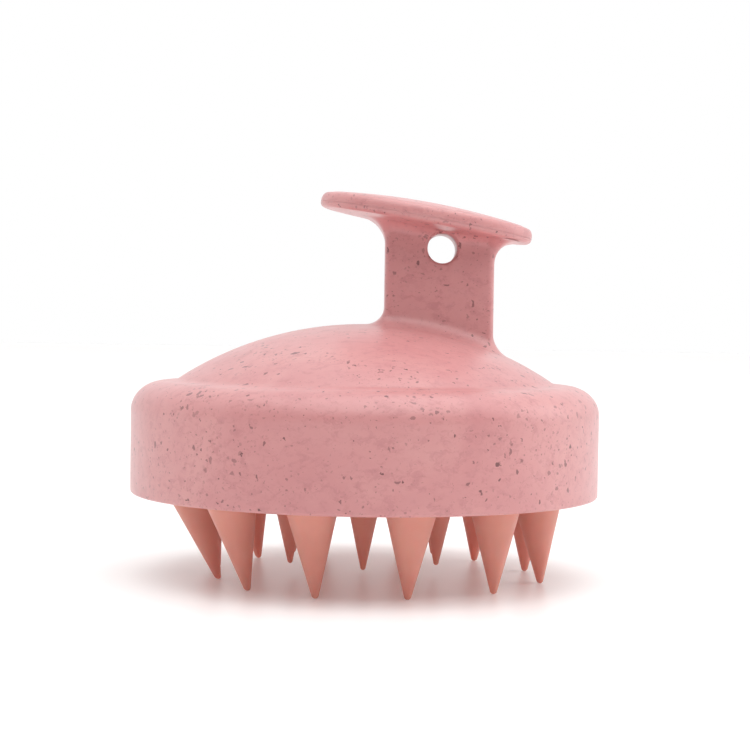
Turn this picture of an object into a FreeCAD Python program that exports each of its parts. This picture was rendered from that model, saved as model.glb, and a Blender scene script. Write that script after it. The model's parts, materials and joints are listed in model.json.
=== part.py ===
import FreeCAD, Part
import math
import os

# Hand-held scalp massager brush. Millimetres, +Z up, tooth tips on Z = 0.
# The body is round about the Z axis. The handle stands off-centre, towards +X.

# ---- driving dimensions ----
BODY_D = 80.0           # outer diameter of the skirt
SKIRT_BOTTOM_Z = 14.3   # lower edge of the skirt
SIDE_TOP_Z = 28.3       # where the straight side turns into the shoulder
SHOULDER_RUN = 5.6      # shoulder's half axis, radially
SHOULDER_RISE = 4.9     # shoulder's half axis, upwards
DOME_R = 31.5           # radius where the dome leaves the shelf
DOME_SPHERE_R = 58.0    # sphere that the dome is part of
CROWN_Z = 43.3          # top of the dome on the axis
WALL = 2.2              # moulded wall thickness
DOME_FOOT_RUN = 1.7     # the dome's foot runs out onto the shelf over this
INNER_STEP = 0.8        # the inner dome's edge lies this far inside the outer one
INNER_DROP = 0.4        # the inner shoulder starts this far below the outer one
EDGE_R = 0.5            # rounding of the skirt's lower edge

STEM_X0 = 3.0           # stem's side towards the middle
STEM_X1 = 21.55         # stem's outer side
STEM_DEPTH = 10.0        # stem's size along Y
STEM_CORNER_R = 1.1     # rounding of the stem's upright edges
STEM_FOOT_R = 3.2       # fillet where the stem meets the dome
STEM_HEAD_R = 2.6       # fillet where the stem meets the palm plate
HOLE_X = 12.7           # hanging hole, through the stem along Y
HOLE_Z = 56.3
HOLE_R = 2.55

PLATE_X = 10.0          # centre of the palm plate's parting plane
PLATE_Z = 61.2
PLATE_TILT = 9.6        # degrees, down towards +X
PLATE_A = 18.4          # half length of the plate, along its tilt
PLATE_B = 12.0          # half width of the plate, along Y
PLATE_CROWN = 3.1       # top of the plate above its parting plane
PLATE_UNDER = 1.5       # underside of the plate below its parting plane
PLATE_LIP = 0.0         # the palm cap's edge above the parting plane
CAP_SPIGOT_R = 11.0     # spigot under the palm cap, pressed into the plate
CAP_SPIGOT_H = 0.8
RIM_RUN = 1.3           # the plate's rim is rounded over this width
STEM_INTO_PLATE = 1.0   # the stem ends this far below the parting plane

RETAINER_Z0 = 23.0      # underside of the stiff disc that carries the pad
RETAINER_Z1 = 25.0
RETAINER_R = 37.74      # a sliding push fit in the skirt
STOP_GAP = 0.1          # gap under the housing's stop ring at rest
STOP_RING_R0 = 33.2
STOP_RING_R1 = 35.4
STOP_RING_ROOT = 0.8    # the stop ring runs this far into the ceiling
GRIP_RIB_H = 3.2        # the retainer's upright rim, which grips the skirt
GRIP_RIB_W = 1.2
SPOKES = 6
SPOKE_R0 = 6.0
SPOKE_LENGTH = 24.0
SPOKE_W = 1.6
SPOKE_H = 2.0
HUB_R0 = 5.0
HUB_R1 = 7.0

PAD_Z0 = 20.0           # lower face of the silicone pad
PAD_R = 37.2
TOOTH_PIVOT_Z = 17.0    # height of the tooth roots' centres
OUTER_ROOT_R = 4.5      # ball at the root of an outer tooth
INNER_ROOT_R = 3.3      # ball at the root of an inner tooth
ROOT_GAP = 0.3          # gap between the ball and its cup in the pad
COLLAR_WALL = 0.9
COLLAR_FLARE = 0.5      # the collars widen upwards by this
OUTER_TIP_R = 0.6       # rounding of an outer tooth's tip
INNER_TIP_R = 0.45      # rounding of an inner tooth's tip

OUTER_N = 12
OUTER_R = 30.4
OUTER_SHIFT = -0.4      # the outer ring's centre, along X
OUTER_FIRST = 15.0      # azimuth of the first outer tooth
INNER_N = 6
INNER_R = 14.6
INNER_FIRST = 30.0
INNER_TIP_Z = 2.8       # the inner teeth are shorter
OUTER_LEAN = 2.4        # how far an outer tip leans towards the axis
INNER_LEAN = 0.4
FRONT_DRAG = 3.5        # how far the side tips of the -Y half are set towards +X
BACK_DRAG = 2.1         # the same on the +Y half

ON_FACE = 0.05          # a point this close to a surface counts as on it

UP = FreeCAD.Vector(0, 0, 1)


def vec(x, y, z):
    return FreeCAD.Vector(x, y, z)


def line(a, b):
    return Part.makeLine(vec(a[0], 0, a[1]), vec(b[0], 0, b[1]))


def arc(a, m, b):
    return Part.Arc(vec(a[0], 0, a[1]), vec(m[0], 0, m[1]), vec(b[0], 0, b[1])).toShape()


def spun(edges):
    """Solid of revolution about Z from edges in the XZ plane."""
    face = Part.Face(Part.Wire(edges))
    return face.revolve(vec(0, 0, 0), UP, 360)


def cap_z(r, sphere_r, top_z):
    """Height of a spherical cap at radius r."""
    return top_z - sphere_r + math.sqrt(sphere_r ** 2 - r ** 2)


def ring(r0, r1, z0, z1):
    outer = Part.makeCylinder(r1, z1 - z0, vec(0, 0, z0))
    return outer.cut(Part.makeCylinder(r0, z1 - z0, vec(0, 0, z0)))


# ---- housing ----
body_r = BODY_D / 2
shelf_r = body_r - SHOULDER_RUN
shelf_z = SIDE_TOP_Z + SHOULDER_RISE
dome_z = cap_z(DOME_R, DOME_SPHERE_R, CROWN_Z)
dome_mid_r = DOME_R * 0.5

outer_ellipse = Part.Ellipse(
    vec(body_r, 0, SIDE_TOP_Z),
    vec(shelf_r, 0, shelf_z),
    vec(shelf_r, 0, SIDE_TOP_Z),
)
outer_shoulder = Part.Arc(outer_ellipse, 0, math.pi / 2).toShape()
in_r = body_r - WALL
in_crown = CROWN_Z - WALL
in_sphere = DOME_SPHERE_R - WALL
in_dome_r = DOME_R - INNER_STEP
in_shelf_z = shelf_z - WALL
in_ellipse = Part.Ellipse(
    vec(in_r, 0, SIDE_TOP_Z - INNER_DROP),
    vec(shelf_r, 0, in_shelf_z),
    vec(shelf_r, 0, SIDE_TOP_Z - INNER_DROP),
)
in_shoulder = Part.Arc(in_ellipse, 0, math.pi / 2).toShape()
in_dome_z = cap_z(in_dome_r, in_sphere, in_crown)
edge = EDGE_R
s45 = math.sqrt(0.5)
e_out = (body_r - edge + edge * s45, SKIRT_BOTTOM_Z + edge - edge * s45)
e_in = (in_r + edge - edge * s45, SKIRT_BOTTOM_Z + edge - edge * s45)

shell = spun([
    line((0, in_crown), (0, CROWN_Z)),
    arc((0, CROWN_Z), (dome_mid_r, cap_z(dome_mid_r, DOME_SPHERE_R, CROWN_Z)), (DOME_R, dome_z)),
    arc((DOME_R, dome_z), (DOME_R + DOME_FOOT_RUN * 0.44, dome_z - 0.38), (DOME_R + DOME_FOOT_RUN, shelf_z)),
    line((DOME_R + DOME_FOOT_RUN, shelf_z), (shelf_r, shelf_z)),
    outer_shoulder,
    line((body_r, SIDE_TOP_Z), (body_r, SKIRT_BOTTOM_Z + edge)),
    arc((body_r, SKIRT_BOTTOM_Z + edge), e_out, (body_r - edge, SKIRT_BOTTOM_Z)),
    line((body_r - edge, SKIRT_BOTTOM_Z), (in_r + edge, SKIRT_BOTTOM_Z)),
    arc((in_r + edge, SKIRT_BOTTOM_Z), e_in, (in_r, SKIRT_BOTTOM_Z + edge)),
    line((in_r, SKIRT_BOTTOM_Z + edge), (in_r, SIDE_TOP_Z - INNER_DROP)),
    in_shoulder,
    line((shelf_r, in_shelf_z), (in_dome_r, in_dome_z)),
    arc((in_dome_r, in_dome_z), (dome_mid_r, cap_z(dome_mid_r, in_sphere, in_crown)), (0, in_crown)),
])

stop_ring = ring(STOP_RING_R0, STOP_RING_R1, RETAINER_Z1 + STOP_GAP, in_shelf_z + STOP_RING_ROOT)
shell = shell.fuse(stop_ring)

# ---- stem ----
stem_mid_x = (STEM_X0 + STEM_X1) / 2
stem = Part.makeBox(
    STEM_X1 - STEM_X0,
    STEM_DEPTH,
    PLATE_Z + 2.0 - shelf_z,
    vec(STEM_X0, -STEM_DEPTH / 2, shelf_z),
)
uprights = [e for e in stem.Edges if abs(e.tangentAt(e.FirstParameter).z) > 0.99]
stem = stem.makeFillet(STEM_CORNER_R, uprights)

# ---- palm plate, built level about its own centre and then tilted ----
tilt = FreeCAD.Placement(
    vec(PLATE_X, 0, PLATE_Z),
    FreeCAD.Rotation(vec(0, 1, 0), PLATE_TILT),
)
squeeze = FreeCAD.Matrix()
squeeze.A22 = PLATE_B / PLATE_A


def placed(solid):
    solid = solid.transformGeometry(squeeze)
    solid.Placement = tilt.multiply(solid.Placement)
    return solid


rim = PLATE_A
low = -PLATE_UNDER
plate = spun([
    line((0, low), (0, PLATE_LIP)),
    line((0, PLATE_LIP), (rim, PLATE_LIP)),
    arc((rim, PLATE_LIP), (rim - 0.3, low + 0.75), (rim - RIM_RUN, low + 0.4)),
    arc((rim - RIM_RUN, low + 0.4), (rim - 3.2, low + 0.13), (rim - 5.2, low)),
    line((rim - 5.2, low), (0, low)),
])
cap = spun([
    line((0, PLATE_LIP - CAP_SPIGOT_H), (0, PLATE_CROWN)),
    arc((0, PLATE_CROWN), (rim * 0.55, PLATE_CROWN - 0.48), (rim - RIM_RUN, 1.5)),
    arc((rim - RIM_RUN, 1.5), (rim - 0.3, 0.9), (rim, PLATE_LIP)),
    line((rim, PLATE_LIP), (CAP_SPIGOT_R, PLATE_LIP)),
    line((CAP_SPIGOT_R, PLATE_LIP), (CAP_SPIGOT_R, PLATE_LIP - CAP_SPIGOT_H)),
    line((CAP_SPIGOT_R, PLATE_LIP - CAP_SPIGOT_H), (0, PLATE_LIP - CAP_SPIGOT_H)),
])
plate = placed(plate)
cap = placed(cap)

# The stem is trimmed by the parting plane, joined to shell and plate, and filleted at both ends.
above = Part.makeBox(80, 80, 20, vec(-40, -40, -STEM_INTO_PLATE))
above.Placement = tilt.multiply(above.Placement)
inside = Part.makeSphere(in_sphere, vec(0, 0, in_crown - in_sphere))
stem = stem.cut(above)
stem = stem.cut(inside)
housing = shell.fuse(stem)
housing = housing.fuse(plate)
housing = housing.removeSplitter()


def on_dome(p):
    """Whether a point lies on the outside of the dome."""
    centre = vec(0, 0, CROWN_Z - DOME_SPHERE_R)
    return abs((p - centre).Length - DOME_SPHERE_R) < ON_FACE


def on_underside(p):
    """Whether a point lies on the flat underside of the palm plate."""
    local = tilt.inverse().multVec(p)
    return abs(local.z + PLATE_UNDER) < ON_FACE


def junction(solid, test):
    """Edges round the stem that lie on another surface."""
    reach = STEM_DEPTH / 2 + 0.01
    found = []
    for e in solid.Edges:
        box = e.BoundBox
        if box.XMin < STEM_X0 - 0.01 or box.XMax > STEM_X1 + 0.01:
            continue
        if box.YMin < -reach or box.YMax > reach:
            continue
        middle = e.valueAt((e.FirstParameter + e.LastParameter) / 2)
        ends = [v.Point for v in e.Vertexes]
        if test(middle) and all(test(p) for p in ends):
            found.append(e)
    return found


foot = junction(housing, on_dome)
housing = housing.makeFillet(STEM_FOOT_R, foot)
head = junction(housing, on_underside)
housing = housing.makeFillet(STEM_HEAD_R, head)
housing = housing.cut(cap)
hole = Part.makeCylinder(HOLE_R, 60, vec(HOLE_X, -30, HOLE_Z), vec(0, 1, 0))
housing = housing.cut(hole)

# ---- retainer: a spoked disc with an upright rim ----
retainer = Part.makeCylinder(RETAINER_R, RETAINER_Z1 - RETAINER_Z0, vec(0, 0, RETAINER_Z0))
rim_z = RETAINER_Z1 + GRIP_RIB_H
retainer = retainer.fuse(ring(RETAINER_R - GRIP_RIB_W, RETAINER_R, RETAINER_Z1, rim_z))
for k in range(SPOKES):
    spoke = Part.makeBox(SPOKE_LENGTH, SPOKE_W, SPOKE_H, vec(SPOKE_R0, -SPOKE_W / 2, RETAINER_Z1))
    spoke.rotate(vec(0, 0, 0), UP, k * 360.0 / SPOKES)
    retainer = retainer.fuse(spoke)
retainer = retainer.fuse(ring(HUB_R0, HUB_R1, RETAINER_Z1, RETAINER_Z1 + SPOKE_H))
retainer = retainer.removeSplitter()

# ---- teeth and pad ----


def tooth_axis(centre_x, root_r, azimuth, tip_z, lean, dragged):
    """Root centre and tip point of a tooth; a dragged one has its tip set towards +X."""
    a = math.radians(azimuth)
    root = vec(centre_x + root_r * math.cos(a), root_r * math.sin(a), TOOTH_PIVOT_Z)
    drag = FRONT_DRAG if math.sin(a) < 0 else BACK_DRAG
    shift = drag * math.cos(a) ** 2 if dragged else 0.0
    tip = vec(root.x - lean * math.cos(a) + shift, root.y - lean * math.sin(a), tip_z)
    return root, tip


def make_tooth(root, tip, root_r, tip_r):
    """A cone that runs tangent into a ball at its root and a small sphere at its tip."""
    reach = (tip - root).Length - tip_r
    alpha = math.asin((root_r - tip_r) / reach)
    z_root = -root_r * math.sin(alpha)
    r_root = root_r * math.cos(alpha)
    z_tip = -reach - tip_r * math.sin(alpha)
    r_tip = tip_r * math.cos(alpha)
    solid = spun([
        line((0, root_r), (0, -reach - tip_r)),
        arc((0, -reach - tip_r), (tip_r * 0.6, -reach - tip_r * 0.8), (r_tip, z_tip)),
        line((r_tip, z_tip), (r_root, z_root)),
        arc((r_root, z_root), (root_r * 0.8, root_r * 0.6), (0, root_r)),
    ])
    turn = FreeCAD.Rotation(vec(0, 0, -1), tip - root)
    solid.Placement = FreeCAD.Placement(root, turn)
    return solid


layout = []
for k in range(OUTER_N):
    azimuth = OUTER_FIRST + k * 360.0 / OUTER_N
    root, tip = tooth_axis(OUTER_SHIFT, OUTER_R, azimuth, 0.0, OUTER_LEAN, True)
    layout.append(("tooth_outer_%02d" % (k + 1), root, tip, OUTER_ROOT_R, OUTER_TIP_R))
for k in range(INNER_N):
    azimuth = INNER_FIRST + k * 360.0 / INNER_N
    root, tip = tooth_axis(0.0, INNER_R, azimuth, INNER_TIP_Z, INNER_LEAN, False)
    layout.append(("tooth_inner_%02d" % (k + 1), root, tip, INNER_ROOT_R, INNER_TIP_R))
root, tip = tooth_axis(0.0, 0.0, 0.0, INNER_TIP_Z, 0.0, False)
layout.append(("tooth_centre", root, tip, INNER_ROOT_R, INNER_TIP_R))

pad = Part.makeCylinder(PAD_R, RETAINER_Z0 - PAD_Z0, vec(0, 0, PAD_Z0))
for name, root, tip, root_r, tip_r in layout:
    collar_r = root_r + ROOT_GAP + COLLAR_WALL
    collar = Part.makeCone(collar_r, collar_r + COLLAR_FLARE, PAD_Z0 - TOOTH_PIVOT_Z, root)
    pad = pad.fuse(collar)
for name, root, tip, root_r, tip_r in layout:
    pad = pad.cut(Part.makeSphere(root_r + ROOT_GAP, root))
pad = pad.removeSplitter()

# ---- one file per piece ----
os.makedirs("parts", exist_ok=True)
housing.exportStep("parts/housing.step")
cap.exportStep("parts/palm_cap.step")
retainer.exportStep("parts/retainer_plate.step")
pad.exportStep("parts/silicone_pad.step")
for name, root, tip, root_r, tip_r in layout:
    make_tooth(root, tip, root_r, tip_r).exportStep("parts/" + name + ".step")
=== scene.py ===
import json
import math

import bmesh
import bpy
from mathutils import Matrix, Vector


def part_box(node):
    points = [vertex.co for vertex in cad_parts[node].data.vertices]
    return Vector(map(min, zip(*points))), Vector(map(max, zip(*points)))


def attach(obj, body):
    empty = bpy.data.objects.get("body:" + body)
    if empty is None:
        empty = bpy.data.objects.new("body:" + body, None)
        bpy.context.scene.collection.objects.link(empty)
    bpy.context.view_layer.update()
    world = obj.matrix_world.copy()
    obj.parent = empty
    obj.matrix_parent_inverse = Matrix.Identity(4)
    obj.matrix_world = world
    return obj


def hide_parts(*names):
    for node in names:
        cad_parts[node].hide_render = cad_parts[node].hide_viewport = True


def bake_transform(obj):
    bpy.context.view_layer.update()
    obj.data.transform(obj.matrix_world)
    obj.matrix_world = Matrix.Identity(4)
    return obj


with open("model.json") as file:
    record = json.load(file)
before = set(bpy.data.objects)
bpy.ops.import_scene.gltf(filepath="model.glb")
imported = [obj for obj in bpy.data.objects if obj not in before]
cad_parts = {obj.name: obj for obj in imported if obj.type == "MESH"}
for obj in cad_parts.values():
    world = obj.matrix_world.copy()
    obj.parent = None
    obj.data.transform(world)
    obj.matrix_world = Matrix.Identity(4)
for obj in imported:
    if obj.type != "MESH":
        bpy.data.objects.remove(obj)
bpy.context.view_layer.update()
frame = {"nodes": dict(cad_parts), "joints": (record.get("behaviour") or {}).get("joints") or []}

MM = 0.001

# ---- the dimensions that part.py uses, in millimetres ----
BODY_R = 40.0
SKIRT_BOTTOM = 14.3
SIDE_TOP = 28.3
SHOULDER_RUN = 5.6
SHOULDER_RISE = 4.9
DOME_R = 31.5
DOME_SPHERE_R = 58.0
CROWN = 43.3
WALL = 2.2
EDGE_R = 0.5
STEM_X0, STEM_X1 = 3.0, 21.55
STEM_HALF_DEPTH = 5.0
STEM_CORNER = 1.1
HOLE_X, HOLE_Z, HOLE_R = 12.7, 56.3, 2.55
PLATE_X, PLATE_Z = 10.0, 61.2
PLATE_TILT = math.radians(9.6)
PLATE_A, PLATE_B = 18.4, 12.0
PLATE_CROWN = 3.1
PLATE_UNDER = 1.5
PAD_Z0, PAD_Z1, PAD_R = 20.0, 23.0, 37.2
STOP_R0, STOP_R1, STOP_Z = 33.2, 35.4, 25.1

# ---- finer shape of the visual skins, lengths in millimetres ----
RIM_START = 17.2        # the plate's long half axis where its rounded rim begins
CAP_EDGE = 1.72         # height of the cap's face at that place
SEAM_V = 0.0            # parting line between the housing's half of the plate and the cap
SEAM_R = 0.07
SEAM_GAP = 0.02
HOLE_MOUTH = 0.35       # rounding of the hanging hole's mouth
TOOTH_FLARE = 1.8       # a tooth starts to flare this far below the pad
TOOTH_FLARE_SHARE = 0.75
TEETH_REACH = PAD_R - 0.7  # no part of a tooth's foot lies further out than this
OUTER_CONE = (0.6, math.radians(14.5))   # tip radius and half angle of an outer tooth
INNER_CONE = (0.45, math.radians(12.0))  # the same of an inner tooth
TOOTH_ROOT_DEPTH = 0.4  # how far a tooth goes into the pad
TIP_BAND = 0.02         # mesh points this close to the lowest one belong to the tip

# ---- how finely the skins are divided ----
DOME_RINGS = 30
DISC_POINTS = 192
HOLE_POINTS = 96
TOOTH_POINTS = 48


# ---------------------------------------------------------------- mesh helpers
def grid_mesh(name, rings):
    """One closed quad skin from rings of equal length, each a list of (x, y, z) in millimetres."""
    count = len(rings[0])
    verts = [Vector(p) * MM for ring in rings for p in ring]
    faces = []
    for r in range(len(rings) - 1):
        for i in range(count):
            j = (i + 1) % count
            faces.append((r * count + i, r * count + j, (r + 1) * count + j, (r + 1) * count + i))
    for first, flip in ((0, True), ((len(rings) - 1) * count, False)):
        middle = sum((verts[first + i] for i in range(count)), Vector()) / count
        verts.append(middle)
        top = len(verts) - 1
        for i in range(count):
            j = (i + 1) % count
            tri = (first + i, first + j, top)
            faces.append(tri[::-1] if flip else tri)
    mesh = bpy.data.meshes.new(name)
    mesh.from_pydata([tuple(v) for v in verts], [], faces)
    mesh.validate()
    obj = bpy.data.objects.new(name, mesh)
    bpy.context.scene.collection.objects.link(obj)
    mesh.shade_smooth()
    return obj


def face_outwards(obj):
    """Turn every face of a closed skin outwards."""
    bm = bmesh.new()
    bm.from_mesh(obj.data)
    bmesh.ops.recalc_face_normals(bm, faces=bm.faces)
    bm.to_mesh(obj.data)
    bm.free()
    obj.data.shade_smooth()


def full_turn(n):
    """n angles, evenly spaced round a circle."""
    return [2 * math.pi * i / n for i in range(n)]


def circle(r, z, angles):
    """Points of a level circle about the part's own axis."""
    return [(r * math.cos(a), r * math.sin(a), z) for a in angles]


def spread(a, b, n):
    """n values from a to b, both included."""
    return [a + (b - a) * i / (n - 1) for i in range(n)]


def quarter(cx, cz, run, rise, a0, a1, n):
    """Points of an elliptical arc between two angles in degrees."""
    return [
        (cx + run * math.cos(math.radians(a)), cz + rise * math.sin(math.radians(a)))
        for a in spread(a0, a1, n)
    ]


def cap_height(r, sphere, crown):
    """Height of a spherical dome at a distance from its axis."""
    return crown - sphere + math.sqrt(max(sphere ** 2 - r ** 2, 0.0))


# ---------------------------------------------------------------- housing
def stem_outline(offset, n_straight_x, n_straight_y, n_corner):
    """Rounded rectangle round the stem, grown by offset, with its outward normals."""
    cx = (STEM_X0 + STEM_X1) / 2
    hx = (STEM_X1 - STEM_X0) / 2 - STEM_CORNER
    hy = STEM_HALF_DEPTH - STEM_CORNER
    points = []
    corners = ((hx, hy, 0), (-hx, hy, 90), (-hx, -hy, 180), (hx, -hy, 270))
    for k, (px, py, start) in enumerate(corners):
        for a in spread(start, start + 90, n_corner):
            n = Vector((math.cos(math.radians(a)), math.sin(math.radians(a))))
            points.append((Vector((cx + px, py)) + n * (STEM_CORNER + offset), n))
        nx, ny, _ = corners[(k + 1) % 4]
        n = Vector((math.cos(math.radians(start + 90)), math.sin(math.radians(start + 90))))
        steps = n_straight_x if k % 2 == 0 else n_straight_y
        for t in spread(0, 1, steps + 2)[1:-1]:
            base = Vector((cx + px + (nx - px) * t, py + (ny - py) * t))
            points.append((base + n * (STEM_CORNER + offset), n))
    return points


# points along each long side of the stem, along each short side and round each corner
OUTLINE = (74, 38, 8)


def foot_radius(n):
    """Fillet at the stem's foot: larger on its two narrow ends."""
    return 2.6 + 0.6 * max(0.0, -n.x) + 0.2 * max(0.0, n.x)


def head_radius(n):
    """Fillet under the palm plate: larger on the two narrow ends."""
    return 1.8 + 1.9 * max(0.0, -n.x) + 2.5 * max(0.0, n.x)


def fillet_lift(radius, d):
    """Height of a quarter-round fillet at distance d from the wall."""
    d = min(max(d, 0.0), radius)
    return radius - math.sqrt(radius ** 2 - (radius - d) ** 2)


def dome_z(x, y):
    """Height of the dome's outer face."""
    return cap_height(math.hypot(x, y), DOME_SPHERE_R, CROWN)


COS_T, SIN_T = math.cos(PLATE_TILT), math.sin(PLATE_TILT)


def plate_to_world(u, y, v):
    """From the palm plate's own tilted frame to the part's frame."""
    return (PLATE_X + u * COS_T + v * SIN_T, y, PLATE_Z - u * SIN_T + v * COS_T)


def under_profile(rho):
    """Underside of the palm plate at a distance from its middle: level, then rising to the rim."""
    return -PLATE_UNDER + 0.5 * (max(0.0, rho - 8.0) / 9.0) ** 1.2


def under_v(u, y):
    """Underside of the palm plate, above its own middle plane."""
    return under_profile(math.hypot(u, y * PLATE_A / PLATE_B))


def world_to_plate_u(x, z):
    """Place along the palm plate's length."""
    return (x - PLATE_X) * COS_T - (z - PLATE_Z) * SIN_T


def underside_at(x, y):
    """Height of the palm plate's underside above a point of the XY plane."""
    z = PLATE_Z
    for _ in range(4):
        v = under_v(world_to_plate_u(x, z), y)
        z = PLATE_Z - (x - PLATE_X - v * SIN_T) * SIN_T / COS_T + v * COS_T
    return z


def build_housing():
    """Body, skirt, dome, stem and the lower half of the palm plate, as one skin."""
    wall = stem_outline(0.0, *OUTLINE)
    centre = Vector(((STEM_X0 + STEM_X1) / 2, 0))
    rays = []
    for p, n in wall:
        d = (p - centre).normalized()
        b = centre.dot(d)
        reach = -b + math.sqrt(b * b - centre.length_squared + DOME_R ** 2)
        rays.append(centre + d * reach)
    angles = [math.atan2(c.y, c.x) for c in rays]
    in_r = BODY_R - WALL
    shelf_r = BODY_R - SHOULDER_RUN
    shelf_z = SIDE_TOP + SHOULDER_RISE
    in_shelf_z = shelf_z - WALL
    rings = []
    # the hidden ceiling, from its middle out to the stop ring and the skirt's inner wall
    inner = [(r, cap_height(r, DOME_SPHERE_R - WALL, CROWN - WALL)) for r in spread(1.5, 30.0, 12)]
    inner += [(31.6, 31.35), (STOP_R0 - 0.4, in_shelf_z), (STOP_R0, in_shelf_z - 0.4)]
    inner += [(STOP_R0, z) for z in spread(in_shelf_z - 1.2, STOP_Z + 0.3, 4)]
    inner += [(STOP_R0 + 0.3, STOP_Z), (STOP_R1 - 0.3, STOP_Z), (STOP_R1, STOP_Z + 0.3)]
    inner += [(STOP_R1, z) for z in spread(STOP_Z + 1.5, in_shelf_z - 0.9, 3)]
    inner += [(STOP_R1 + 0.35, in_shelf_z - 0.5)]
    inner += quarter(in_r - 2.2, SIDE_TOP - 0.6, 2.2, 2.9, 78, 0, 7)
    inner += [(in_r, z) for z in spread(SIDE_TOP - 2.5, SKIRT_BOTTOM + EDGE_R + 0.4, 7)]
    inner += quarter(in_r + EDGE_R, SKIRT_BOTTOM + EDGE_R, EDGE_R, EDGE_R, 180, 262, 6)
    outer = quarter(BODY_R - EDGE_R, SKIRT_BOTTOM + EDGE_R, EDGE_R, EDGE_R, 278, 360, 7)
    outer += [(BODY_R, z) for z in spread(SKIRT_BOTTOM + EDGE_R + 0.4, SIDE_TOP - 0.3, 9)]
    outer += quarter(shelf_r, SIDE_TOP, SHOULDER_RUN, SHOULDER_RISE, 0, 90, 18)
    dome_edge = cap_height(DOME_R, DOME_SPHERE_R, CROWN)
    outer += [(shelf_r - 0.5, shelf_z + 0.01), (shelf_r - 1.0, shelf_z + 0.06)]
    outer += [(DOME_R + 1.4, shelf_z + 0.12), (DOME_R + 1.05, shelf_z + 0.2)]
    outer += [(DOME_R + 0.7, shelf_z + 0.34), (DOME_R + 0.35, dome_edge - 0.26)]
    for r, z in inner + outer:
        rings.append(circle(r, z, angles))
    # the dome, from its edge circle in to the foot of the stem
    for s in range(DOME_RINGS):
        t = s / DOME_RINGS
        ring = []
        for (p, n), c in zip(wall, rays):
            foot = p + n * foot_radius(n)
            q = c + (foot - c) * t
            ring.append((q.x, q.y, dome_z(q.x, q.y)))
        rings.append(ring)
    # foot fillet, stem wall and head fillet
    for a in spread(0, 90, 12):
        ring = []
        for p, n in wall:
            radius = foot_radius(n)
            d = radius * (1 - math.sin(math.radians(a)))
            q = p + n * d
            ring.append((q.x, q.y, dome_z(q.x, q.y) + fillet_lift(radius, d)))
        rings.append(ring)
    feet, heads = rings[-1], []
    for p, n in wall:
        heads.append((p.x, p.y, underside_at(p.x, p.y) - head_radius(n)))
    for t in spread(0, 1, 14)[1:-1]:
        rings.append([
            (f[0], f[1], f[2] + (h[2] - f[2]) * t) for f, h in zip(feet, heads)
        ])
    for a in spread(90, 0, 12):
        ring = []
        for p, n in wall:
            radius = head_radius(n)
            d = radius * (1 - math.sin(math.radians(a)))
            q = p + n * d
            ring.append((q.x, q.y, underside_at(q.x, q.y) - fillet_lift(radius, d)))
        rings.append(ring)
    # underside of the palm plate out to its rim, then over the rim to the parting line
    polar = [(world_to_plate_u(x, z), y) for x, y, z in rings[-1]]
    directions = [math.atan2(y * PLATE_A / PLATE_B, u) for u, y in polar]
    for t in spread(0, 1, 14)[1:]:
        ring = []
        for (u, y), a in zip(polar, directions):
            eu, ey = RIM_START * math.cos(a), RIM_START * math.sin(a) * PLATE_B / PLATE_A
            pu, py = u + (eu - u) * t, y + (ey - y) * t
            ring.append(plate_to_world(pu, py, under_v(pu, py)))
        rings.append(ring)
    for rho, v in rim_profile():
        ring = []
        for a in directions:
            u, y = rho * math.cos(a), rho * math.sin(a) * PLATE_B / PLATE_A
            ring.append(plate_to_world(u, y, v))
        rings.append(ring)
    return grid_mesh("housing_shell", rings)


def rim_profile():
    """Lower half of the palm plate's edge, ending at the parting line and going in under the cap."""
    start_v = under_profile(RIM_START)
    run = PLATE_A - RIM_START
    points = []
    for a in spread(0, 78, 10)[1:]:
        s, c = math.sin(math.radians(a)), math.cos(math.radians(a))
        points.append((RIM_START + run * s ** 0.9, start_v * c ** 0.9))
    points += [(PLATE_A - 0.01, SEAM_V - SEAM_R), (PLATE_A - 0.03, SEAM_V - 0.03)]
    points += [(rho, SEAM_V - SEAM_GAP) for rho in (PLATE_A - 0.06, PLATE_A - 0.6, 12.0, 5.0)]
    return points


def build_cap():
    """Upper half of the palm plate."""
    angles = full_turn(DISC_POINTS)
    profile = [(4.0, SEAM_V), (12.0, SEAM_V), (PLATE_A - 0.6, SEAM_V)]
    profile += [(PLATE_A - 0.06, SEAM_V), (PLATE_A - 0.03, SEAM_V + 0.02)]
    profile += [(PLATE_A - 0.01, SEAM_V + SEAM_R)]
    for a in spread(12, 90, 12):
        s, c = math.sin(math.radians(a)), math.cos(math.radians(a))
        profile.append((RIM_START + (PLATE_A - RIM_START) * c ** 0.8, CAP_EDGE * s ** 0.85))
    for rho in spread(16.6, 1.2, 16):
        profile.append((rho, PLATE_CROWN - 0.95 * (rho / 15.0) ** 2))
    rings = []
    for rho, v in profile:
        ring = []
        for a in angles:
            u, y = rho * math.cos(a), rho * math.sin(a) * PLATE_B / PLATE_A
            ring.append(plate_to_world(u, y, v))
        rings.append(ring)
    return grid_mesh("palm_cap_top", rings)


def cut_hole(obj):
    """Hanging hole with a softly rounded mouth on both faces."""
    profile = [(-12.0, HOLE_R + HOLE_MOUTH)]
    for a in spread(0, 90, 6):
        s = math.sin(math.radians(a))
        profile.append((-STEM_HALF_DEPTH + HOLE_MOUTH * s, HOLE_R + HOLE_MOUTH * (1 - s)))
    profile = profile + [(-y, r) for y, r in reversed(profile)]
    rings = [
        [(HOLE_X + r * math.cos(a), y, HOLE_Z + r * math.sin(a)) for a in full_turn(HOLE_POINTS)]
        for y, r in profile
    ]
    cutter = grid_mesh("hole_cutter", rings)
    face_outwards(cutter)
    mod = obj.modifiers.new("hole", "BOOLEAN")
    mod.object = cutter
    mod.operation = "DIFFERENCE"
    mod.solver = "EXACT"
    bpy.context.view_layer.objects.active = obj
    obj.select_set(True)
    bpy.ops.object.modifier_apply(modifier=mod.name)
    obj.select_set(False)
    bpy.data.objects.remove(cutter)


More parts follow.
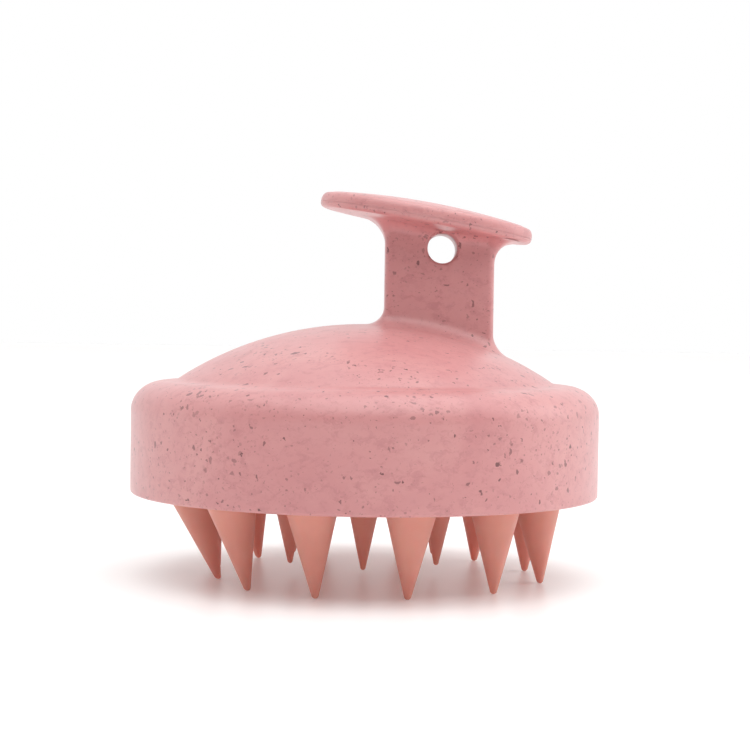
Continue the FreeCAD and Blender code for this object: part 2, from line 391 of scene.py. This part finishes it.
# ---------------------------------------------------------------- silicone
def joint_facts():
    """Root place and bending body of each tooth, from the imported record."""
    found = []
    for joint in frame["joints"]:
        if joint["type"] == "hinge":
            found.append((joint["child"], Vector(joint["pos_m"]) / MM))
    return found


def tooth_profile(height, tip_r, alpha):
    """(height above the tip, radius) of a tooth that flares into the pad."""
    turn = tip_r * (1 - math.sin(alpha))
    points = []
    for a in spread(8, 90 - math.degrees(alpha), 9):
        s = math.radians(a)
        points.append((tip_r * (1 - math.cos(s)), tip_r * math.sin(s)))
    for t in spread(0, 1, 34)[1:]:
        h = turn + (height - turn) * t
        r = tip_r * math.cos(alpha) + (h - turn) * math.tan(alpha)
        r += fillet_lift(TOOTH_FLARE, height - h) * TOOTH_FLARE_SHARE
        points.append((h, r))
    return points


def circle_at(x, y, z, r):
    """Points of a level circle, drawn in to TEETH_REACH where they would lie further out."""
    points = []
    for a in full_turn(TOOTH_POINTS):
        p = Vector((x + r * math.cos(a), y + r * math.sin(a)))
        if p.length > TEETH_REACH:
            p *= TEETH_REACH / p.length
        points.append((p.x, p.y, z))
    return points


def build_tooth(body, root):
    """One soft cone from its tip to the pad's face, leaning towards its root."""
    low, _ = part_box(body)
    tip_z = low.z / MM
    corners = [v.co / MM for v in frame["nodes"][body].data.vertices]
    tips = [c for c in corners if c.z < tip_z + TIP_BAND]
    tip = sum(tips, Vector()) / len(tips)
    lean = (root - Vector((tip.x, tip.y, tip_z))) / (root.z - tip_z)
    height = PAD_Z0 - tip_z
    profile = tooth_profile(height, *(OUTER_CONE if "outer" in body else INNER_CONE))
    rings = []
    for h, r in profile:
        x, y = tip.x + lean.x * h, tip.y + lean.y * h
        rings.append(circle_at(x, y, tip_z + h, r))
    x, y, z = tip.x + lean.x * height, tip.y + lean.y * height, PAD_Z0 + TOOTH_ROOT_DEPTH
    rings.append(circle_at(x, y, z, profile[-1][1]))
    obj = grid_mesh("silicone_" + body, rings)
    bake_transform(obj)
    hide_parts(body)
    return obj


def build_pad():
    """The pad's disc, which the teeth grow out of."""
    angles = full_turn(DISC_POINTS)
    profile = [(r, PAD_Z1) for r in spread(2.0, PAD_R - 0.6, 10)]
    profile += quarter(PAD_R - 0.6, PAD_Z1 - 0.6, 0.6, 0.6, 75, 0, 5)
    profile += quarter(PAD_R - 1.0, PAD_Z0 + 1.0, 1.0, 1.0, 0, -90, 8)
    profile += [(r, PAD_Z0) for r in spread(PAD_R - 1.6, 2.0, 14)]
    return grid_mesh("silicone_pad_face", [circle(r, z, angles) for r, z in profile])


# ---------------------------------------------------------------- materials
class Nodes:
    """Short calls for building one material's node tree."""

    def __init__(self, name):
        self.mat = bpy.data.materials.new(name)
        self.mat.use_nodes = True
        self.tree = self.mat.node_tree
        self.tree.nodes.clear()
        self.out = self.tree.nodes.new("ShaderNodeOutputMaterial")
        self.bsdf = self.tree.nodes.new("ShaderNodeBsdfPrincipled")
        self.link(self.bsdf.outputs[0], self.out.inputs["Surface"])
        self.coord = self.tree.nodes.new("ShaderNodeTexCoord").outputs["Object"]

    def link(self, a, b):
        self.tree.links.new(a, b)

    def noise(self, scale, detail=3.0, rough=0.5, vector=None, distortion=0.0):
        n = self.tree.nodes.new("ShaderNodeTexNoise")
        n.inputs["Scale"].default_value = scale
        n.inputs["Detail"].default_value = detail
        n.inputs["Roughness"].default_value = rough
        n.inputs["Distortion"].default_value = distortion
        self.link(vector or self.coord, n.inputs["Vector"])
        return n

    def voronoi(self, scale, vector):
        n = self.tree.nodes.new("ShaderNodeTexVoronoi")
        n.inputs["Scale"].default_value = scale
        self.link(vector, n.inputs["Vector"])
        return n

    def math(self, op, a, b=None, clamp=False):
        n = self.tree.nodes.new("ShaderNodeMath")
        n.operation = op
        n.use_clamp = clamp
        for i, v in enumerate((a, b)):
            if v is None:
                continue
            if isinstance(v, (int, float)):
                n.inputs[i].default_value = v
            else:
                self.link(v, n.inputs[i])
        return n.outputs[0]

    def remap(self, value, a0, a1, b0, b1, smooth=False):
        n = self.tree.nodes.new("ShaderNodeMapRange")
        n.interpolation_type = "SMOOTHSTEP" if smooth else "LINEAR"
        n.clamp = True
        self.link(value, n.inputs["Value"])
        for key, v in (("From Min", a0), ("From Max", a1), ("To Min", b0), ("To Max", b1)):
            n.inputs[key].default_value = v
        return n.outputs["Result"]

    def ramp(self, value, stops):
        n = self.tree.nodes.new("ShaderNodeValToRGB")
        while len(n.color_ramp.elements) < len(stops):
            n.color_ramp.elements.new(0.5)
        for e, (at, colour) in zip(n.color_ramp.elements, stops):
            e.position = at
            e.color = (*colour, 1)
        self.link(value, n.inputs["Fac"])
        return n.outputs["Color"]

    def mix(self, fac, a, b):
        n = self.tree.nodes.new("ShaderNodeMix")
        n.data_type = "RGBA"
        self.link(fac, n.inputs[0])
        for i, v in ((6, a), (7, b)):
            if isinstance(v, tuple):
                n.inputs[i].default_value = (*v, 1)
            else:
                self.link(v, n.inputs[i])
        return n.outputs[2]

    def stretched(self, scale, rotation, wobble, wobble_scale):
        """Object coordinates, bent by noise and stretched, so that flecks come out long and uneven."""
        n = self.noise(wobble_scale, 2.0)
        sub = self.tree.nodes.new("ShaderNodeVectorMath")
        sub.operation = "SUBTRACT"
        self.link(n.outputs["Color"], sub.inputs[0])
        sub.inputs[1].default_value = (0.5, 0.5, 0.5)
        mul = self.tree.nodes.new("ShaderNodeVectorMath")
        mul.operation = "SCALE"
        self.link(sub.outputs[0], mul.inputs[0])
        mul.inputs["Scale"].default_value = wobble
        add = self.tree.nodes.new("ShaderNodeVectorMath")
        add.operation = "ADD"
        self.link(self.coord, add.inputs[0])
        self.link(mul.outputs[0], add.inputs[1])
        mapping = self.tree.nodes.new("ShaderNodeMapping")
        mapping.inputs["Rotation"].default_value = rotation
        mapping.inputs["Scale"].default_value = scale
        self.link(add.outputs[0], mapping.inputs["Vector"])
        return mapping.outputs[0]

    def bump(self, height, strength, distance):
        n = self.tree.nodes.new("ShaderNodeBump")
        n.inputs["Strength"].default_value = strength
        n.inputs["Distance"].default_value = distance
        self.link(height, n.inputs["Height"])
        self.link(n.outputs[0], self.bsdf.inputs["Normal"])

    def flecks(self, vector, cell, share, size, cluster):
        """Scattered flecks: a share of the cells hold one, each with its own size.

        The cluster mask makes them smaller in some places and larger in others.
        """
        v = self.voronoi(1.0 / cell, vector)
        split = self.tree.nodes.new("ShaderNodeSeparateColor")
        self.link(v.outputs["Color"], split.inputs[0])
        radius = self.remap(split.outputs[0], 1.0 - share, 1.0, 0.0, size / cell)
        radius = self.math("MULTIPLY", radius, cluster)
        edge = self.math("SUBTRACT", radius, v.outputs["Distance"])
        edge = self.math("MULTIPLY", edge, 22.0, clamp=True)
        tone = self.remap(split.outputs[1], 0.0, 1.0, 0.35, 1.0)
        return self.math("MULTIPLY", edge, tone)


def straw_plastic():
    m = Nodes("straw_filled_plastic")
    cluster = m.remap(m.noise(95.0, 3.0).outputs["Fac"], 0.36, 0.62, 0.60, 1.15, smooth=True)
    ragged = m.stretched((1.0, 1.0, 1.0), (0.0, 0.0, 0.0), 0.0009, 1700.0)
    upright = m.stretched((1.0, 1.0, 0.55), (0.5, 0.25, 0.9), 0.0010, 1300.0)
    level = m.stretched((0.5, 1.0, 1.0), (0.2, 0.7, 0.4), 0.0011, 1200.0)
    grains = m.flecks(ragged, 0.0009, 0.60, 0.00028, cluster)
    dark_a = m.flecks(upright, 0.0013, 0.75, 0.00036, cluster)
    dark_b = m.flecks(level, 0.0014, 0.60, 0.00035, cluster)
    dust = m.flecks(ragged, 0.00055, 0.80, 0.00020, cluster)
    fleck = m.math("MAXIMUM", m.math("MAXIMUM", dark_a, dark_b), m.math("MULTIPLY", grains, 0.80))
    fleck = m.math("MAXIMUM", fleck, m.math("MULTIPLY", dust, 0.30))
    mottle = m.ramp(m.noise(55.0, 5.0, 0.6, distortion=0.6).outputs["Fac"], [
        (0.30, (0.605, 0.248, 0.252)), (0.52, (0.648, 0.284, 0.284)), (0.72, (0.682, 0.318, 0.313)),
    ])
    fibre = m.noise(760.0, 4.0, 0.7, vector=level, distortion=0.8).outputs["Fac"]
    mottle = m.mix(m.remap(fibre, 0.46, 0.70, 0.0, 0.55, smooth=True), mottle, (0.500, 0.190, 0.196))
    smear = m.noise(230.0, 3.0, 0.65, distortion=1.2).outputs["Fac"]
    mottle = m.mix(m.remap(smear, 0.60, 0.78, 0.0, 0.35, smooth=True), mottle, (0.56, 0.225, 0.215))
    colour = m.mix(m.math("MULTIPLY", fleck, 0.86), mottle, (0.085, 0.012, 0.017))
    m.link(colour, m.bsdf.inputs["Base Color"])
    rough = m.remap(m.noise(320.0, 4.0).outputs["Fac"], 0.3, 0.7, 0.40, 0.52)
    m.link(rough, m.bsdf.inputs["Roughness"])
    m.bsdf.inputs["Specular IOR Level"].default_value = 0.55
    m.bsdf.inputs["Coat Weight"].default_value = 0.55
    m.bsdf.inputs["Coat Roughness"].default_value = 0.30
    m.bsdf.inputs["Subsurface Weight"].default_value = 0.12
    m.bsdf.inputs["Subsurface Radius"].default_value = (0.0016, 0.0007, 0.0006)
    m.bsdf.inputs["Subsurface Scale"].default_value = 1.0
    grain = m.noise(1900.0, 3.0).outputs["Fac"]
    height = m.math("ADD", m.math("MULTIPLY", grain, 0.5), m.math("MULTIPLY", fleck, -0.6))
    m.bump(height, 0.10, 0.00006)
    return m.mat


def retainer_plastic():
    m = Nodes("retainer_plastic")
    tone = m.ramp(m.noise(90.0, 4.0).outputs["Fac"], [
        (0.35, (0.62, 0.28, 0.27)), (0.65, (0.68, 0.33, 0.32)),
    ])
    m.link(tone, m.bsdf.inputs["Base Color"])
    m.link(m.remap(m.noise(500.0).outputs["Fac"], 0.3, 0.7, 0.42, 0.5), m.bsdf.inputs["Roughness"])
    m.bump(m.noise(1500.0, 2.0).outputs["Fac"], 0.08, 0.00005)
    return m.mat


def silicone():
    m = Nodes("coral_silicone")
    tone = m.ramp(m.noise(120.0, 3.0).outputs["Fac"], [
        (0.35, (0.730, 0.322, 0.258)), (0.65, (0.775, 0.357, 0.288)),
    ])
    m.link(tone, m.bsdf.inputs["Base Color"])
    m.link(m.remap(m.noise(650.0, 3.0).outputs["Fac"], 0.3, 0.7, 0.44, 0.54), m.bsdf.inputs["Roughness"])
    m.bsdf.inputs["Specular IOR Level"].default_value = 0.4
    m.bsdf.inputs["Subsurface Weight"].default_value = 0.5
    m.bsdf.inputs["Subsurface Radius"].default_value = (0.0045, 0.0012, 0.0008)
    m.bsdf.inputs["Subsurface Scale"].default_value = 1.0
    m.bsdf.inputs["Sheen Weight"].default_value = 0.08
    m.bsdf.inputs["Sheen Roughness"].default_value = 0.4
    m.bump(m.noise(1400.0, 3.0).outputs["Fac"], 0.10, 0.00005)
    return m.mat


def floor_material():
    m = Nodes("pale_floor_painted_glow")
    tone = m.ramp(m.noise(6.0, 2.0).outputs["Fac"], [
        (0.3, (0.92, 0.915, 0.91)), (0.7, (0.935, 0.93, 0.925)),
    ])
    m.link(tone, m.bsdf.inputs["Base Color"])
    m.bsdf.inputs["Roughness"].default_value = 0.35
    m.bsdf.inputs["Specular IOR Level"].default_value = 0.3
    # Faint glow over the whole floor: painted light that lifts the shadows under the brush and lights
    # the teeth and skirt from below.
    m.bsdf.inputs["Emission Color"].default_value = (1.0, 0.96, 0.955, 1)
    m.bsdf.inputs["Emission Strength"].default_value = 0.10
    return m.mat


PLASTIC = straw_plastic()
RETAINER = retainer_plastic()
SILICONE = silicone()

# ---------------------------------------------------------------- assemble
housing = build_housing()
face_outwards(housing)
cut_hole(housing)
housing.data.shade_smooth()
housing.data.materials.append(PLASTIC)
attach(housing, "housing")
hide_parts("housing")

cap = build_cap()
face_outwards(cap)
cap.data.materials.append(PLASTIC)
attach(cap, "housing")
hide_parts("palm_cap")

pad = build_pad()
face_outwards(pad)
pad.data.materials.append(SILICONE)
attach(pad, "brush_head")
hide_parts("silicone_pad")

for body, root in joint_facts():
    tooth = build_tooth(body, root)
    face_outwards(tooth)
    tooth.data.materials.append(SILICONE)

retainer = frame["nodes"]["retainer_plate"]
retainer.data.materials.clear()
retainer.data.materials.append(RETAINER)

# ---------------------------------------------------------------- stage
FLOOR_Z = 0.0
FLOOR_REACH = 3.0
mesh = bpy.data.meshes.new("floor")
corners = [
    (x * FLOOR_REACH, y * FLOOR_REACH, FLOOR_Z) for x, y in ((-1, -1), (1, -1), (1, 1), (-1, 1))
]
mesh.from_pydata(corners, [], [(0, 1, 2, 3)])
floor = bpy.data.objects.new("floor", mesh)
bpy.context.scene.collection.objects.link(floor)
floor.data.materials.append(floor_material())

world = bpy.data.worlds.new("studio")
bpy.context.scene.world = world
world.use_nodes = True

# Studio surround: bright behind, above and at the sides, and darker on the viewer's side.
sky = world.node_tree
background = sky.nodes["Background"]
background.inputs[0].default_value = (1.0, 1.0, 1.0, 1)
direction = sky.nodes.new("ShaderNodeTexCoord")
parts = sky.nodes.new("ShaderNodeSeparateXYZ")
sky.links.new(direction.outputs["Generated"], parts.inputs[0])


def sky_range(axis, low, high, value_low, value_high):
    """Brightness that rises smoothly along one direction of the surround."""
    node = sky.nodes.new("ShaderNodeMapRange")
    node.interpolation_type = "SMOOTHSTEP"
    settings = (("From Min", low), ("From Max", high), ("To Min", value_low), ("To Max", value_high))
    for key, value in settings:
        node.inputs[key].default_value = value
    sky.links.new(parts.outputs[axis], node.inputs["Value"])
    return node.outputs["Result"]


brighter = sky.nodes.new("ShaderNodeMath")
brighter.operation = "MAXIMUM"
sky.links.new(sky_range("Y", -0.90, 0.35, 0.10, 1.0), brighter.inputs[0])
sky.links.new(sky_range("Z", 0.35, 0.80, 0.0, 1.12), brighter.inputs[1])
sky.links.new(brighter.outputs[0], background.inputs[1])


def area_light(name, place, target, size, watts):
    """A square lamp aimed at a place."""
    data = bpy.data.lights.new(name, "AREA")
    data.shape = "RECTANGLE"
    data.size, data.size_y = size, size
    data.energy = watts
    light = bpy.data.objects.new(name, data)
    light.location = place
    aim = Vector(target) - Vector(place)
    light.rotation_euler = aim.to_track_quat("-Z", "Y").to_euler()
    bpy.context.scene.collection.objects.link(light)


LAMP_AIM = (0, 0, 0.03)
area_light("overhead", (0.05, -0.22, 0.80), LAMP_AIM, 1.0, 4.1)
area_light("right_side", (0.65, 0.05, 0.30), LAMP_AIM, 0.5, 1.0)

CAMERA_DISTANCE = 0.300
CAMERA_HEIGHT = 0.04315
CAMERA_ROLL = math.radians(0.86)
CAMERA_AIM = (0.0016, 0.0, 0.03454)
CAMERA_LENS = 83.6
SENSOR_WIDTH = 36.0
camera_data = bpy.data.cameras.new("camera")
camera_data.sensor_width = SENSOR_WIDTH
camera_data.lens = CAMERA_LENS
camera_data.clip_start = 0.01
camera = bpy.data.objects.new("camera", camera_data)
bpy.context.scene.collection.objects.link(camera)
eye = Vector((0.0, -CAMERA_DISTANCE, CAMERA_HEIGHT))
aim = (Vector(CAMERA_AIM) - eye).to_track_quat("-Z", "Y").to_matrix().to_4x4()
camera.matrix_world = Matrix.Translation(eye) @ aim @ Matrix.Rotation(CAMERA_ROLL, 4, "Z")
bpy.context.scene.camera = camera
bpy.context.scene.view_settings.view_transform = "Standard"

bpy.context.view_layer.update()
